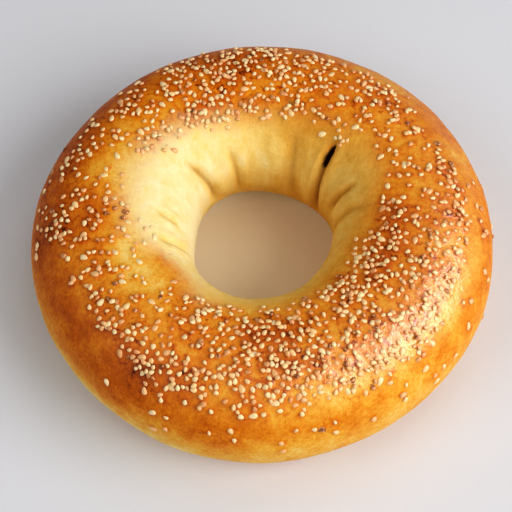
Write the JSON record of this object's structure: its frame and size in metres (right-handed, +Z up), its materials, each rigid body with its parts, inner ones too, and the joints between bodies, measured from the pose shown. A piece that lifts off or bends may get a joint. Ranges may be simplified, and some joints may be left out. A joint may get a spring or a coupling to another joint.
{
  "type": "sesame ring bagel",
  "caption": "Plump round baked bread ring with a glossy golden-brown crust, a pale creased hole wall and toasted sesame seeds over its crown.",
  "frame": {"origin": "on the flat base, under the middle of the ring", "axes": "+Z up through the hole, the seeded crown on top; +Y towards the creased and torn part of the hole wall; +X to the right as seen from the unbroken front"},
  "size_m": [0.1415, 0.1392, 0.0433],
  "materials": {
    "crust": "baked crust with a soft egg-wash gloss, set with cream sesame seeds"
  },
  "bodies": {
    "root": {"bagel": "crust"}
  },
  "joints": []
}
